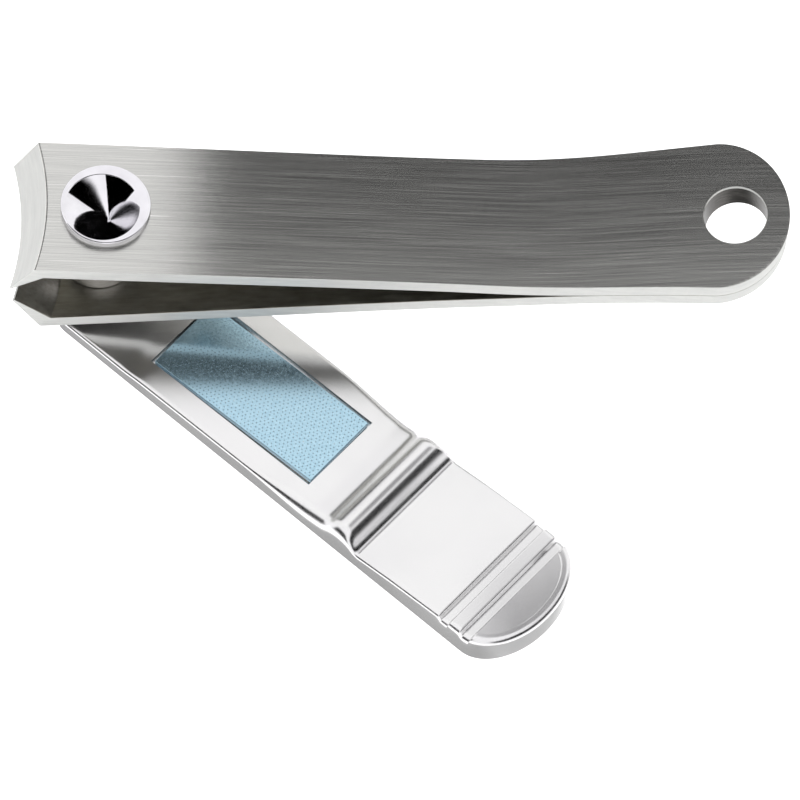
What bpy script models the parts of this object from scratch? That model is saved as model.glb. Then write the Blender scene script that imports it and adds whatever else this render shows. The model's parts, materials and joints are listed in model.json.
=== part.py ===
"""Swing-lever nail clipper with a die-cast lever and a file plate.

Frame: +X runs along the jaws from the cutting edges to the tail, +Z is up along the post, with the post's head on
top. The lever lies underneath, swung out towards -Y. The origin is the bottom centre of the whole object's box.
All the numbers below are millimetres, and MM turns them into metres.
"""

import math

import bmesh
import bpy
from mathutils import Matrix, Vector

MM = 0.001

# Whole object
JAW_LENGTH = 80.0
AXIS_Y = 17.43                 # the jaws' centre plane, so that the object's box is centred on the origin
FRONT_X = -JAW_LENGTH / 2
TAIL_X = JAW_LENGTH / 2
FIT = 0.06                     # gap between faces that lie on each other
RUN = 0.10                     # radial gap of a pin in its hole

# Lever
LEVER_SWING = math.radians(-40.7)
LEVER_HALF = 7.7
LEVER_LENGTH = 61.4            # from the post's axis to the thumb end
LEVER_NOSE = 1.2               # how far it goes in front of the pin
LEVER_BACK = -0.35             # height of its flat back over the pin's axis
NOSE_R = 3.0
END_SAG = 5.0
EAR_IN = 1.5
EAR_OUT = 3.2
EAR_R = 1.4
HEEL_DISTANCE = 6.05           # from the pin to the heel that presses the jaw
HEEL_ANGLE = math.radians(-50)
HEEL_R = 0.6
SLOT_END = 2.5
RIB_END = 11.0
PROFILE = (                    # top of the lever: distance from the pin, height over its flat back
    (-LEVER_NOSE, 1.75), (10.0, 1.75), (12.0, 2.0), (33.0, 2.6), (35.2, 2.75), (37.2, 3.2), (38.6, 3.9),
    (39.6, 4.1), (40.6, 3.6), (41.8, 2.1), (46.5, 2.8), (53.1, 3.45), (53.5, 2.95), (54.4, 3.0), (54.5, 3.5),
    (55.9, 3.55), (56.3, 3.05), (57.2, 3.1), (57.3, 3.6), (LEVER_LENGTH, 3.5),
)
PANEL_START = 57.1
PANEL_RIM = 1.1
PANEL_DEPTH = 0.4

# File plate
FILE_START = 11.53
FILE_LENGTH = 21.3
FILE_WIDTH = 9.4
FILE_THICK = 0.6
FILE_MARGIN = 0.25
FILM_THICK = 0.12
FILE_BURIED = 0.05             # how far the file plate's face lies under the lever's
POCKET_DEPTH = FILE_BURIED + FILE_THICK + FILM_THICK + 2 * FIT

# Post, bush and pin
POST_X = FRONT_X + 9.67
PIN_Z = HEEL_R - HEEL_DISTANCE * math.sin(HEEL_ANGLE)
PIN_R = 0.9
SHANK_R = 2.0
TONGUE = 2.4                   # thickness of the post's flattened end
TONGUE_TOP = PIN_Z + 5.2
HEAD_R = 4.65
HEAD_RIM = 0.9
HEAD_LAND = 0.18               # width of the narrow rim round the dish
DISH_DEPTH = 3.4
HEAD_SEAT_R = 3.9              # the head's cone sits in the jaw's countersink, from this radius down to the shank
BUSH_R = 4.3
BUSH_BARREL_R = 3.4
BUSH_BORE_R = 2.75
BUSH_HEIGHT = 2.0

# Jaw strips
PLATE = 1.65                   # thickness of each strip
JAW_TOP = PIN_Z + 13.57        # height of the head-side jaw's flat top face
WAIST = 7.445                  # half widths
FRONT_EXTRA = 0.13
FLARE = 1.1
FLARE_START_X = 2.8
TAIL_ROUND = 7.5               # length of the rounded tail end
WELD_X = 16.5                  # the strips are welded together from here to the tail
SPLAY_NEAR = 0.155             # slope between the strips just in front of the weld
SPLAY_FAR = 0.162              # slope between them near the post
SPLAY_LENGTH = 20.0
TAIL_LIFT = 2.1                # the tail curves up by this much
TAIL_LIFT_START = 9.0
TAIL_LIFT_LENGTH = 30.0
LIP_LENGTH = 5.24              # bent cutting lips, measured along their outer faces
LIP_ANGLE = math.radians(61)
LOWER_LIP_LENGTH = 5.55
LOWER_LIP_ANGLE = math.radians(66)
LIP_EDGE = 0.22                # thickness left at the cutting edge
LIP_TAPER = 0.36               # the lip narrows by this much on each side
LOWER_EDGE_BACK = 0.35         # the lever-side edge starts this far back, and swings forward as the jaws close
EDGE_SAG = 1.06                # the cutting edges are hollow by this much
SAG_LENGTH = 6.0               # the hollow fades out over this length behind the lip
RING_HOLE_R = 3.25
RING_HOLE_X = TAIL_X - 5.4


def clear_scene():
    for old in list(bpy.data.objects):
        bpy.data.objects.remove(old, do_unlink=True)


def new_collection(name):
    collection = bpy.data.collections.new(name)
    bpy.context.scene.collection.children.link(collection)
    return collection


def material(name, color, roughness, metallic):
    made = bpy.data.materials.new(name)
    made.use_nodes = True
    shader = made.node_tree.nodes["Principled BSDF"]
    shader.inputs["Base Color"].default_value = (*color, 1.0)
    shader.inputs["Roughness"].default_value = roughness
    shader.inputs["Metallic"].default_value = metallic
    return made


def link_mesh(name, mesh, collection, finish=None):
    made = bpy.data.objects.new(name, mesh)
    collection.objects.link(made)
    if finish:
        made.data.materials.append(finish)
    return made


def from_bmesh(name, bm, collection, finish=None):
    bmesh.ops.recalc_face_normals(bm, faces=bm.faces)
    mesh = bpy.data.meshes.new(name)
    bm.to_mesh(mesh)
    bm.free()
    mesh.shade_smooth()
    mesh.set_sharp_from_angle(angle=math.radians(30))
    return link_mesh(name, mesh, collection, finish)


def as_cutter(made):
    made.hide_render = True
    made.display_type = "WIRE"
    return made


def boolean(made, cutter, operation="DIFFERENCE"):
    modifier = made.modifiers.new(cutter.name, "BOOLEAN")
    modifier.object = cutter
    modifier.operation = operation
    modifier.solver = "EXACT"
    return modifier


def smooth_step(t):
    t = min(max(t, 0.0), 1.0)
    return t * t * (3.0 - 2.0 * t)


# The jaws

def half_width(x):
    """Half of the strips' width at x, without the lip's taper."""
    if x > TAIL_X - TAIL_ROUND:
        t = min((x - TAIL_X + TAIL_ROUND) / TAIL_ROUND, 1.0)
        return (WAIST + FLARE) * math.sqrt(max(1.0 - t * t, 0.0))
    front = FRONT_EXTRA * smooth_step(-(x - 2.0) / (JAW_LENGTH / 2))
    flare = max(x - FLARE_START_X, 0.0) / (TAIL_X - TAIL_ROUND - FLARE_START_X)
    return WAIST + front + FLARE * flare * flare


def splay(x):
    """Gap between the strips' inner faces at x."""
    d = WELD_X - x
    if d <= 0.0:
        return 0.0
    near = min(d, SPLAY_LENGTH)
    growth = (SPLAY_FAR - SPLAY_NEAR) / SPLAY_LENGTH
    return SPLAY_NEAR * near + growth * near * near / 2 + SPLAY_FAR * (d - near)


def seam(x):
    """Height of the head-side jaw's inner face at x."""
    flat = JAW_TOP - PLATE
    half_turn = (SPLAY_FAR - SPLAY_NEAR) / 2 / SPLAY_LENGTH
    bent = min(max(x - (WELD_X - SPLAY_LENGTH), 0.0), SPLAY_LENGTH)
    height = flat + half_turn * bent * bent / 2
    height += SPLAY_FAR / 2 * max(x - WELD_X, 0.0)
    return height + TAIL_LIFT * smooth_step((x - TAIL_LIFT_START) / TAIL_LIFT_LENGTH)


def stations(start, end, step):
    count = max(round((end - start) / step), 1)
    return [start + (end - start) * i / count for i in range(count + 1)]


def rounded_stations(start):
    """Places along the rounded tail, closer together towards the tip."""
    first = TAIL_X - TAIL_ROUND
    steps = 12
    turns = [math.pi / 2 * i / steps for i in range(1, steps)]
    return stations(start, first, 2.0) + [first + TAIL_ROUND * math.sin(t) for t in turns] + [TAIL_X - 0.02]


def lip_point(bend, angle, side, along):
    """A point of the lip's outer face, along from the bend; side is -1 for a lip that goes down."""
    return Vector((bend.x - along * math.cos(angle), 0, bend.z + side * along * math.sin(angle)))


def strip_rings(outer, inner, fade, widths):
    """Turns lists of outer and inner points into rings of vertices across the strip."""
    columns = 12
    rings = []
    for top, low, share, half in zip(outer, inner, fade, widths):
        ring = []
        for j in range(columns + 1):
            across = 2.0 * j / columns - 1.0
            sag = EDGE_SAG * (1.0 - across * across) * share
            ring.append((Vector((top.x + sag, across * half, top.z)), Vector((low.x + sag, across * half, low.z))))
        rings.append(ring)
    return rings


def strip_mesh(name, rings, collection, finish):
    """Closed solid between the rings' outer and inner points."""
    bm = bmesh.new()
    grid = [[(bm.verts.new(a), bm.verts.new(b)) for a, b in ring] for ring in rings]
    for first, second in zip(grid, grid[1:]):
        for j in range(len(first) - 1):
            for k in range(2):
                bm.faces.new((first[j][k], first[j + 1][k], second[j + 1][k], second[j][k]))
        for j in (0, len(first) - 1):
            bm.faces.new((first[j][0], first[j][1], second[j][1], second[j][0]))
    for ring in (grid[0], grid[-1]):
        for j in range(len(ring) - 1):
            bm.faces.new((ring[j][0], ring[j][1], ring[j + 1][1], ring[j + 1][0]))
    bmesh.ops.transform(bm, matrix=Matrix.Scale(MM, 4), verts=bm.verts)
    bmesh.ops.translate(bm, vec=(0, AXIS_Y * MM, 0), verts=bm.verts)
    return from_bmesh(name, bm, collection, finish)


def jaw_strip(name, upper, start, end, collection, finish):
    """One strip from start to end; with start at None it begins with the lip."""
    outer = []
    inner = []
    fade = []
    widths = []
    side = -1 if upper else 1

    def face(x, offset):
        base = seam(x) if upper else seam(x) - splay(x)
        return Vector((x, 0, base - side * offset))

    if start is None:
        edge_x = FRONT_X if upper else FRONT_X + LOWER_EDGE_BACK
        length = LIP_LENGTH if upper else LOWER_LIP_LENGTH
        turn = LIP_ANGLE if upper else LOWER_LIP_ANGLE
        angle = turn if upper else turn - math.atan(SPLAY_FAR)
        bend_x = edge_x + length * math.cos(angle)
        bend = face(bend_x, PLATE)
        mitre = PLATE * math.tan(turn / 2)
        inner_bend = face(bend_x + mitre, 0.0)
        inward = Vector((math.sin(angle), 0, side * math.cos(angle)))
        edge = lip_point(bend, angle, side, length) + inward * LIP_EDGE
        for share in (1.0, 0.66, 0.33):
            outer.append(lip_point(bend, angle, side, length * share))
            inner.append(inner_bend.lerp(edge, share))
            fade.append(1.0)
            widths.append(half_width(FRONT_X) - LIP_TAPER * share)
        outer.append(bend)
        inner.append(inner_bend)
        fade.append(1.0)
        widths.append(half_width(bend_x))
        run_start = bend_x + mitre + 1.0
    else:
        run_start = start
    run_end = TAIL_X if end is None else end
    run = rounded_stations(run_start) if end is None else stations(run_start, run_end, 2.0)
    for x in run:
        outer.append(face(x, PLATE))
        inner.append(face(x, FIT / 2))
        fade.append(1.0 - smooth_step((x - run_start) / SAG_LENGTH) if start is None else 0.0)
        widths.append(half_width(x))
    rings = strip_rings(outer, inner, fade, widths)
    return strip_mesh(name, rings, collection, finish)


def round_cutter(name, x, z, radius, length, collection, tilt=0.0):
    bm = bmesh.new()
    bmesh.ops.create_cone(bm, cap_ends=True, segments=48, radius1=radius * MM, radius2=radius * MM, depth=length * MM)
    made = as_cutter(from_bmesh(name, bm, collection))
    made.location = (x * MM, AXIS_Y * MM, z * MM)
    made.rotation_euler = (0, tilt, 0)
    return made


def turned(name, profile, collection, finish, segments=48):
    """A solid turned about Z from (radius, height) points, running down the outer side."""
    mesh = bpy.data.meshes.new(name)
    points = [(r * MM, 0, z * MM) for r, z in profile]
    closed = profile[0][0] > 0.0
    edges = [(i, i + 1) for i in range(len(points) - 1)]
    if closed:
        edges.append((len(points) - 1, 0))
    mesh.from_pydata(points, edges, [])
    made = link_mesh(name, mesh, collection, finish)
    screw = made.modifiers.new("turn", "SCREW")
    screw.steps = segments
    screw.render_steps = segments
    screw.use_merge_vertices = True
    screw.merge_threshold = 0.00001
    return made


def make_jaws(parts, cutters, steel):
    head_jaw = jaw_strip("head_side_jaw", True, None, None, parts, steel)
    lever_jaw = jaw_strip("lever_side_jaw", False, None, WELD_X - RUN, parts, steel)
    tail = jaw_strip("lever_side_jaw_tail", False, WELD_X + RUN, None, parts, steel)
    tail_slope = seam(RING_HOLE_X + 0.5) - seam(RING_HOLE_X - 0.5)
    ring_hole = round_cutter("ring_hole", RING_HOLE_X, seam(RING_HOLE_X), RING_HOLE_R, 12.0, cutters,
                             -math.atan(tail_slope))
    boolean(head_jaw, ring_hole)
    boolean(tail, ring_hole)
    boolean(head_jaw, countersink(cutters))
    tilt = math.atan(SPLAY_FAR)
    middle = jaw_middle()
    boolean(lever_jaw, round_cutter("bush_hole", middle.x, middle.z, BUSH_BARREL_R + FIT, 8.0, cutters, -tilt))


def countersink(cutters):
    """Cutter for the post's hole, with the seat of the head's cone."""
    slope = (HEAD_SEAT_R - SHANK_R) / (PLATE - FIT)
    above = 1.0
    profile = ((0, FIT + above), (HEAD_SEAT_R + RUN + slope * above, FIT + above), (SHANK_R + RUN, FIT - PLATE),
               (SHANK_R + RUN, -PLATE - above), (0, -PLATE - above))
    cutter = as_cutter(turned("post_hole", profile, cutters, None))
    cutter.location = (POST_X * MM, AXIS_Y * MM, JAW_TOP * MM)
    return cutter


def jaw_middle():
    """The point on the post's axis, in the middle of the lever-side jaw's thickness."""
    return Vector((POST_X, 0, seam(POST_X) - splay(POST_X) - PLATE / 2))


def make_bush(parts, steel):
    half = PLATE / 2
    profile = ((BUSH_BORE_R, half + BUSH_HEIGHT), (BUSH_R - 0.3, half + BUSH_HEIGHT), (BUSH_R, half + BUSH_HEIGHT - 0.3),
               (BUSH_R, half + FIT), (BUSH_BARREL_R, half + FIT), (BUSH_BARREL_R, -half), (BUSH_BORE_R, -half))
    bush = turned("post_bush", profile, parts, steel)
    middle = jaw_middle()
    bush.location = (middle.x * MM, AXIS_Y * MM, middle.z * MM)
    bush.rotation_euler = (0, -math.atan(SPLAY_FAR), 0)


# Flat outlines

def arc(centre, radius, first, last, steps=10, stretch=1.0):
    """Points of an arc, in degrees; stretch widens it along the second axis."""
    points = []
    for i in range(steps + 1):
        angle = math.radians(first + (last - first) * i / steps)
        points.append((centre[0] + radius * math.cos(angle), centre[1] + radius * stretch * math.sin(angle)))
    return points


def prism(name, outline, thickness, collection, upright=False):
    """Closed mesh of a flat outline, centred on its plane; an upright one stands in the XZ plane."""
    curve = bpy.data.curves.new(name, "CURVE")
    curve.dimensions = "2D"
    curve.fill_mode = "BOTH"
    curve.extrude = thickness / 2 * MM
    spline = curve.splines.new("POLY")
    spline.points.add(len(outline) - 1)
    for point, (x, y) in zip(spline.points, outline):
        point.co = (x * MM, y * MM, 0, 1)
    spline.use_cyclic_u = True
    drawn = bpy.data.objects.new(name + "_outline", curve)
    collection.objects.link(drawn)
    depsgraph = bpy.context.evaluated_depsgraph_get()
    mesh = bpy.data.meshes.new_from_object(drawn.evaluated_get(depsgraph))
    bpy.data.objects.remove(drawn)
    bpy.data.curves.remove(curve)
    bm = bmesh.new()
    bm.from_mesh(mesh)
    bpy.data.meshes.remove(mesh)
    bmesh.ops.remove_doubles(bm, verts=bm.verts, dist=0.000001)
    if upright:
        bmesh.ops.transform(bm, matrix=Matrix.Rotation(math.pi / 2, 4, "X"), verts=bm.verts)
    return from_bmesh(name, bm, collection)


def box(name, size, centre, collection, finish=None, tilt=0.0):
    """A box in the lever's own frame, tilted about its middle."""
    bm = bmesh.new()
    bmesh.ops.create_cube(bm, size=1.0)
    bmesh.ops.scale(bm, vec=[length * MM for length in size], verts=bm.verts)
    bmesh.ops.rotate(bm, matrix=Matrix.Rotation(tilt, 3, "Y"), verts=bm.verts)
    bmesh.ops.translate(bm, vec=[place * MM for place in centre], verts=bm.verts)
    return from_bmesh(name, bm, collection, finish)


def cross_bar(name, radius, length, collection, finish=None):
    """A round bar along Y, centred on the lever's pin."""
    bm = bmesh.new()
    bmesh.ops.create_cone(bm, cap_ends=True, segments=32, radius1=radius * MM, radius2=radius * MM, depth=length * MM)
    bmesh.ops.rotate(bm, matrix=Matrix.Rotation(math.pi / 2, 3, "X"), verts=bm.verts)
    return from_bmesh(name, bm, collection, finish)


# The post and its pin

def make_post(parts, cutters, chrome):
    """The post: a head with a hollow cone, a round shank and a flattened end with the pin's hole."""
    seat = JAW_TOP + FIT - PIN_Z
    top = seat + HEAD_RIM
    end = -1.9
    profile = ((0, top - DISH_DEPTH), (HEAD_R - HEAD_LAND - 0.1, top), (HEAD_R - 0.1, top), (HEAD_R, top - 0.1),
               (HEAD_R, seat), (HEAD_SEAT_R, seat), (SHANK_R, seat - PLATE), (SHANK_R, -0.4), (1.6, -1.3),
               (0.9, end), (0, end))
    post = turned("post", profile, parts, chrome)
    height = TONGUE_TOP - PIN_Z + 4.0
    for side in (-1, 1):
        centre = (0, side * (TONGUE / 2 + 2.0), TONGUE_TOP - PIN_Z - height / 2)
        flat = as_cutter(box("tongue_flat", (6.0, 4.0, height), centre, cutters))
        place_on_pin(flat)
        boolean(post, flat)
    hole = as_cutter(cross_bar("tongue_hole", PIN_R + RUN, 8.0, cutters))
    place_on_pin(hole)
    boolean(post, hole)
    place_on_pin(post)


def place_on_pin(made):
    made.location = (POST_X * MM, AXIS_Y * MM, PIN_Z * MM)
    made.rotation_euler = (0, 0, LEVER_SWING)


def make_cross_pin(parts, steel):
    pin = cross_bar("cross_pin", PIN_R, 2 * EAR_OUT - 0.2, parts, steel)
    rounding = pin.modifiers.new("end_chamfer", "BEVEL")
    rounding.width = 0.15 * MM
    rounding.segments = 1
    place_on_pin(pin)


# The lever, in its own frame: X along it from the pin, Y across, Z up from the pin's axis

def lever_top(u):
    """Height of the lever's thumb side at u."""
    for (u0, h0), (u1, h1) in zip(PROFILE, PROFILE[1:]):
        if u <= u1:
            return LEVER_BACK + h0 + (h1 - h0) * (u - u0) / (u1 - u0)
    return LEVER_BACK + PROFILE[-1][1]


def lever_outline(margin=0.0, start=-LEVER_NOSE):
    """The lever's outline seen from above, shrunk by margin."""
    half = LEVER_HALF - margin
    end = arc((LEVER_LENGTH - END_SAG, 0), END_SAG - margin, -90, 90, 24, half / (END_SAG - margin))
    nose = [(start + NOSE_R, half)] + arc((start + NOSE_R, half - NOSE_R), NOSE_R, 90, 180, 6)[1:]
    return end + nose + [(u, -v) for u, v in reversed(nose)]


def heel_outline():
    """Side view of the ears: a boss round the pin, the heel that presses the jaw, and a rib behind it."""
    heel = (HEEL_DISTANCE * math.cos(HEEL_ANGLE), HEEL_DISTANCE * math.sin(HEEL_ANGLE))
    spread = math.degrees(math.acos((EAR_R - HEEL_R) / HEEL_DISTANCE))
    tangent = 360 + math.degrees(HEEL_ANGLE) - spread
    boss = arc((0, 0), EAR_R, 90, tangent, 14)
    tip = arc(heel, HEEL_R, tangent, 310, 8)
    rib_end = (RIB_END, LEVER_BACK + 0.5)
    return boss + tip + [rib_end]


def make_lever(parts, cutters, chrome):
    side_view = [(u, LEVER_BACK + h) for u, h in PROFILE] + [(LEVER_LENGTH, LEVER_BACK), (-LEVER_NOSE, LEVER_BACK)]
    lever = prism("lever", side_view, 2 * LEVER_HALF + 2, parts, upright=True)
    lever.data.materials.append(chrome)
    outline = as_cutter(prism("lever_plan", lever_outline(), 30.0, cutters))
    ears = as_cutter(prism("lever_ears", heel_outline(), 2 * EAR_OUT, cutters, upright=True))
    slot = as_cutter(box("lever_slot", (10.0, 2 * EAR_IN, 20.0), (SLOT_END - 5.0, 0, 0), cutters))
    pin_hole = as_cutter(cross_bar("lever_pin_hole", PIN_R + RUN, 3 * LEVER_HALF, cutters))
    panel = panel_cutter(cutters)
    pocket = in_pocket("file_pocket", FILE_MARGIN, -2.0, POCKET_DEPTH, cutters, None)
    boolean(lever, outline, "INTERSECT")
    boolean(lever, ears, "UNION")
    for cutter in (slot, pin_hole, panel, as_cutter(pocket)):
        boolean(lever, cutter)
    place_on_pin(lever)
    for cutter in (outline, ears, slot, pin_hole, panel, pocket):
        place_on_pin(cutter)


def panel_cutter(cutters):
    """Cutter for the recessed, D-shaped end panel behind the grip ridges."""
    margin = PANEL_RIM
    half = LEVER_HALF - margin
    centre = LEVER_LENGTH - END_SAG
    reach = END_SAG - margin
    start_turn = math.degrees(math.asin((PANEL_START - centre) / reach))
    outline = arc((centre, 0), reach, start_turn - 90, 90 - start_turn, 16, half / reach)
    outline = [point for point in outline if point[0] >= PANEL_START - 0.001]
    made = prism("end_panel", outline, 4.0, cutters)
    for vertex in made.data.vertices:
        vertex.co.z += (lever_top(PANEL_START) - PANEL_DEPTH + 2.0) * MM
    return as_cutter(made)


def in_pocket(name, margin, from_depth, to_depth, collection, finish):
    """A flat slab in the file's pocket, between two depths under the lever's face."""
    slope = math.atan((lever_top(33.0) - lever_top(13.0)) / 20.0)
    middle = FILE_START + FILE_LENGTH / 2
    depth = (from_depth + to_depth) / 2
    size = (FILE_LENGTH + 2 * margin, FILE_WIDTH + 2 * margin, to_depth - from_depth)
    centre = (middle + depth * math.sin(slope), 0, lever_top(middle) - depth * math.cos(slope))
    return box(name, size, centre, collection, finish, -slope)


def make_file(parts, blue, glue):
    plate_end = FILE_BURIED + FILE_THICK
    plate = in_pocket("file_plate", 0.0, FILE_BURIED, plate_end, parts, blue)
    film = in_pocket("file_adhesive", -0.3, plate_end + FIT, plate_end + FIT + FILM_THICK, parts, glue)
    place_on_pin(plate)
    place_on_pin(film)


def main():
    clear_scene()
    parts = new_collection("nail_clipper")
    cutters = new_collection("cutters")
    steel = material("brushed_steel", (0.62, 0.61, 0.58), 0.35, 1.0)
    chrome = material("chrome", (0.8, 0.8, 0.82), 0.08, 1.0)
    satin = material("satin_chrome", (0.75, 0.75, 0.77), 0.25, 1.0)
    blue = material("blue_steel", (0.22, 0.42, 0.55), 0.4, 0.6)
    glue = material("clear_adhesive", (0.7, 0.7, 0.65), 0.5, 0.0)
    make_jaws(parts, cutters, steel)
    make_bush(parts, chrome)
    make_post(parts, cutters, chrome)
    make_cross_pin(parts, steel)
    make_lever(parts, cutters, satin)
    make_file(parts, blue, glue)


main()
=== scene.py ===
import json
import math
from collections import namedtuple

import bmesh
import bpy
from mathutils import Matrix, Vector


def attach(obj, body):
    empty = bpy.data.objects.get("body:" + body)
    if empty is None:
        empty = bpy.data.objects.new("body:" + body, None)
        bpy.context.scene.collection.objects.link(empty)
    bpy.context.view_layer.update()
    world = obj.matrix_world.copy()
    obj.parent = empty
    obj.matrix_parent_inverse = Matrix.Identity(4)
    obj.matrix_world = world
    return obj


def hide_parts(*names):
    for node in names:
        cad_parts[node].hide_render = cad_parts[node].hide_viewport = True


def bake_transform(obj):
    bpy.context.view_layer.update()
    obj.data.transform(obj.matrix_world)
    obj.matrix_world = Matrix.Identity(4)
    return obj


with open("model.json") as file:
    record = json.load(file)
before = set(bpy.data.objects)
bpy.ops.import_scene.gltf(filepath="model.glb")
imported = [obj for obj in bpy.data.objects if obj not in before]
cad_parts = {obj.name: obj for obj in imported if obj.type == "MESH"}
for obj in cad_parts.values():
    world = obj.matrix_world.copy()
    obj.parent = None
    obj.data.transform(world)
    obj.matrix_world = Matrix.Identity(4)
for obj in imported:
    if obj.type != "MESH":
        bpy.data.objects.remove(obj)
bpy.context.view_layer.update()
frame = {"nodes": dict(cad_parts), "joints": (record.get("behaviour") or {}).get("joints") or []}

# Looks of the nail clipper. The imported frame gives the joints' places, and the shapes here follow the same
# driving dimensions as the CAD part, with finer meshes. Lengths are in millimetres until a mesh is finished,
# and MM turns them into metres.

MM = 0.001
JOINTS = {joint["name"]: joint for joint in frame["joints"]}
PIN = Vector(JOINTS["lever_press"]["pos_m"]) / MM
WELD = Vector(JOINTS["jaw_close"]["pos_m"]) / MM
ACROSS = Vector(JOINTS["lever_press"]["axis"])
ALONG = Vector((ACROSS.y, -ACROSS.x, 0.0))
ON_PIN = Matrix.Translation(PIN) @ Matrix((ALONG, ACROSS, (0, 0, 1))).transposed().to_4x4()
FIT = 0.06                     # gap between faces that lie on each other
RUN = 0.10                     # radial gap of a pin in its hole

# Jaw strips
FRONT_X = -40.0
TAIL_X = 40.0
PLATE = 1.65
JAW_TOP = PIN.z + 13.57
WAIST = 7.445
FRONT_EXTRA = 0.13
FLARE = 1.1
FLARE_START_X = 2.8
TAIL_ROUND = 7.5
SPLAY_NEAR = 0.155
SPLAY_FAR = 0.162
SPLAY_LENGTH = 20.0
WELD_ROUND = 5.0               # the strips' bends at the weld are rounded over this length on either side
SEAM_GAP = 0.02                # between the strips where they lie on each other
TAIL_LIFT = 2.1
TAIL_LIFT_START = 9.0
TAIL_LIFT_LENGTH = 30.0
LIP_EDGE = 0.22
LIP_TAPER = 0.36
EDGE_SAG = 1.06
SAG_LENGTH = 6.0
BEND_ROUND = 0.22              # half the length over which the lip's bend is rounded
STRIP_EDGE_R = 0.06            # rounding along the strips' edges
RING_HOLE_R = 3.25
RING_HOLE_X = TAIL_X - 5.4
RING_CHAMFER = 0.14
STEEP = 0.4                    # a face whose normal rises less than this is the hole's wall
LEVEL = 0.85                   # and one whose normal rises more than this is the strip's own face
Strip = namedtuple("Strip", "upper edge_x lip turn")
CUT_EDGE = 1                   # material slots on a strip, after its outer face
INNER_FACE = 2
BORE_FACE = 3
UPPER = Strip(True, FRONT_X, 5.24, math.radians(61))
LOWER = Strip(False, FRONT_X + 0.35, 5.55, math.radians(66))

# Post, bush and pin
PIN_R = 0.9
SHANK_R = 2.0
TONGUE = 2.4
TONGUE_TOP = 5.2
HEAD_R = 4.65
HEAD_RIM = 0.9
HEAD_LIP = 0.55                # width of the nearly flat rim round the dish
LIP_TILT = 8.0                 # how far the rim leans into the dish, in degrees
CREASE_R = 0.2                 # rounding between the rim and the dish's cone
RIM_R = 0.14                   # rounding between the rim and the head's wall
DISH_MOUTH_SHIFT = Vector((-0.38, -0.38, 0.0))    # the dish is pressed in slightly off centre and askew
DISH_TIP_SHIFT = Vector((0.45, -0.05, 0.0))
DISH_SLOPE = math.radians(40.8)
HEAD_SEAT_R = 3.9
BUSH_R = 4.3
BUSH_BARREL_R = 3.4
BUSH_BORE_R = 2.75
BUSH_HEIGHT = 2.0
BUSH_MOUTH_R = 0.25            # roundings of the bush's mouth and of its outer edge
BUSH_EDGE_R = 0.35

# Lever
LEVER_HALF = 7.7
LEVER_LENGTH = 61.4
LEVER_NOSE = 1.2
LEVER_BACK = -0.35
NOSE_R = 3.0
END_SAG = 5.0
END_CENTRE = LEVER_LENGTH - END_SAG
EAR_IN = 1.5
EAR_OUT = 3.2
EAR_R = 1.4
HEEL_DISTANCE = 6.05
HEEL_ANGLE = math.radians(-50)
HEEL_R = 0.6
SLOT_END = 2.5                 # the slot for the post's end reaches this far from the pin, and the rib further
RIB_END = 11.0
PROFILE = (                    # top of the lever: distance from the pin, height over its flat back
    (-LEVER_NOSE, 1.75), (10.0, 1.75), (12.0, 2.0), (33.0, 2.6), (35.2, 2.75), (37.4, 3.15), (38.5, 3.9),
    (39.6, 4.1), (40.6, 3.6), (41.8, 2.1), (46.5, 2.8), (53.1, 3.45), (53.5, 2.95), (54.4, 3.0), (54.5, 3.5),
    (55.9, 3.55), (56.3, 3.05), (57.2, 3.1), (57.3, 3.6), (LEVER_LENGTH, 3.5),
)
GROOVES_START = 50.0           # the creases from here on are tight
GROOVE_CREASE = 0.07
STEP_CREASE = 0.45
BACK_ROUND = 0.15              # rounding along the back's edges
TOP_ROUND = 0.42               # along the thumb side's edges, and what the step and the tip add to it
STEP_ROUND = 1.0
TIP_ROUND = 0.3
STEP_RISE = (26.0, 10.0)       # where along the lever these grow or fade: start and length
STEP_FADE = (39.5, 2.5)
TIP_RISE = (52.0, 5.0)
PANEL_START = 57.1
PANEL_RIM = 1.1
PANEL_DEPTH = 0.4
PANEL_FOOT = 0.16              # rounding where the panel's wall meets its floor

# File plate
FILE_START = 11.53
FILE_LENGTH = 21.3
FILE_WIDTH = 9.4
FILE_THICK = 0.6
FILE_MARGIN = 0.25
PLATE_WIDTH = 9.1              # the plate is a little narrower than its solid, and laid slightly askew
PLATE_TURN = math.radians(0.8)
FILM_THICK = 0.12
FILE_BURIED = 0.05
POCKET_DEPTH = FILE_BURIED + FILE_THICK + FILM_THICK + 2 * FIT
DOT_PITCH = 0.46
DOT_ROW = 0.39
DOT_R = 0.11
DOT_HEIGHT = 0.05
DOT_WANDER = 0.05              # how far a point strays from its place in the rows
DOT_BORDER = 0.3               # bare strip round the points

# Studio cards, each as bright as the room except to the pieces named, which see it black. A card fades out
# over its soft edge, and its cover is how dense it is in the middle.
ROOM = 1.12
Card = namedtuple("Card", "name centre size soft cover dark_to")
LEVEL_CARDS = (
    Card("jaw_card", (127.4, 100.0, 80.0), (300.0, 140.0), 5.0, 0.93, "jaws"),
    Card("zenith_card", (-29.0, 3.0, 72.0), (80.0, 50.0), 6.0, 1.0, "post"),
    Card("panel_card", (24.0, 1.0, 60.0), (34.0, 34.0), 10.0, 0.75, "post lever"),
)
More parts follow.
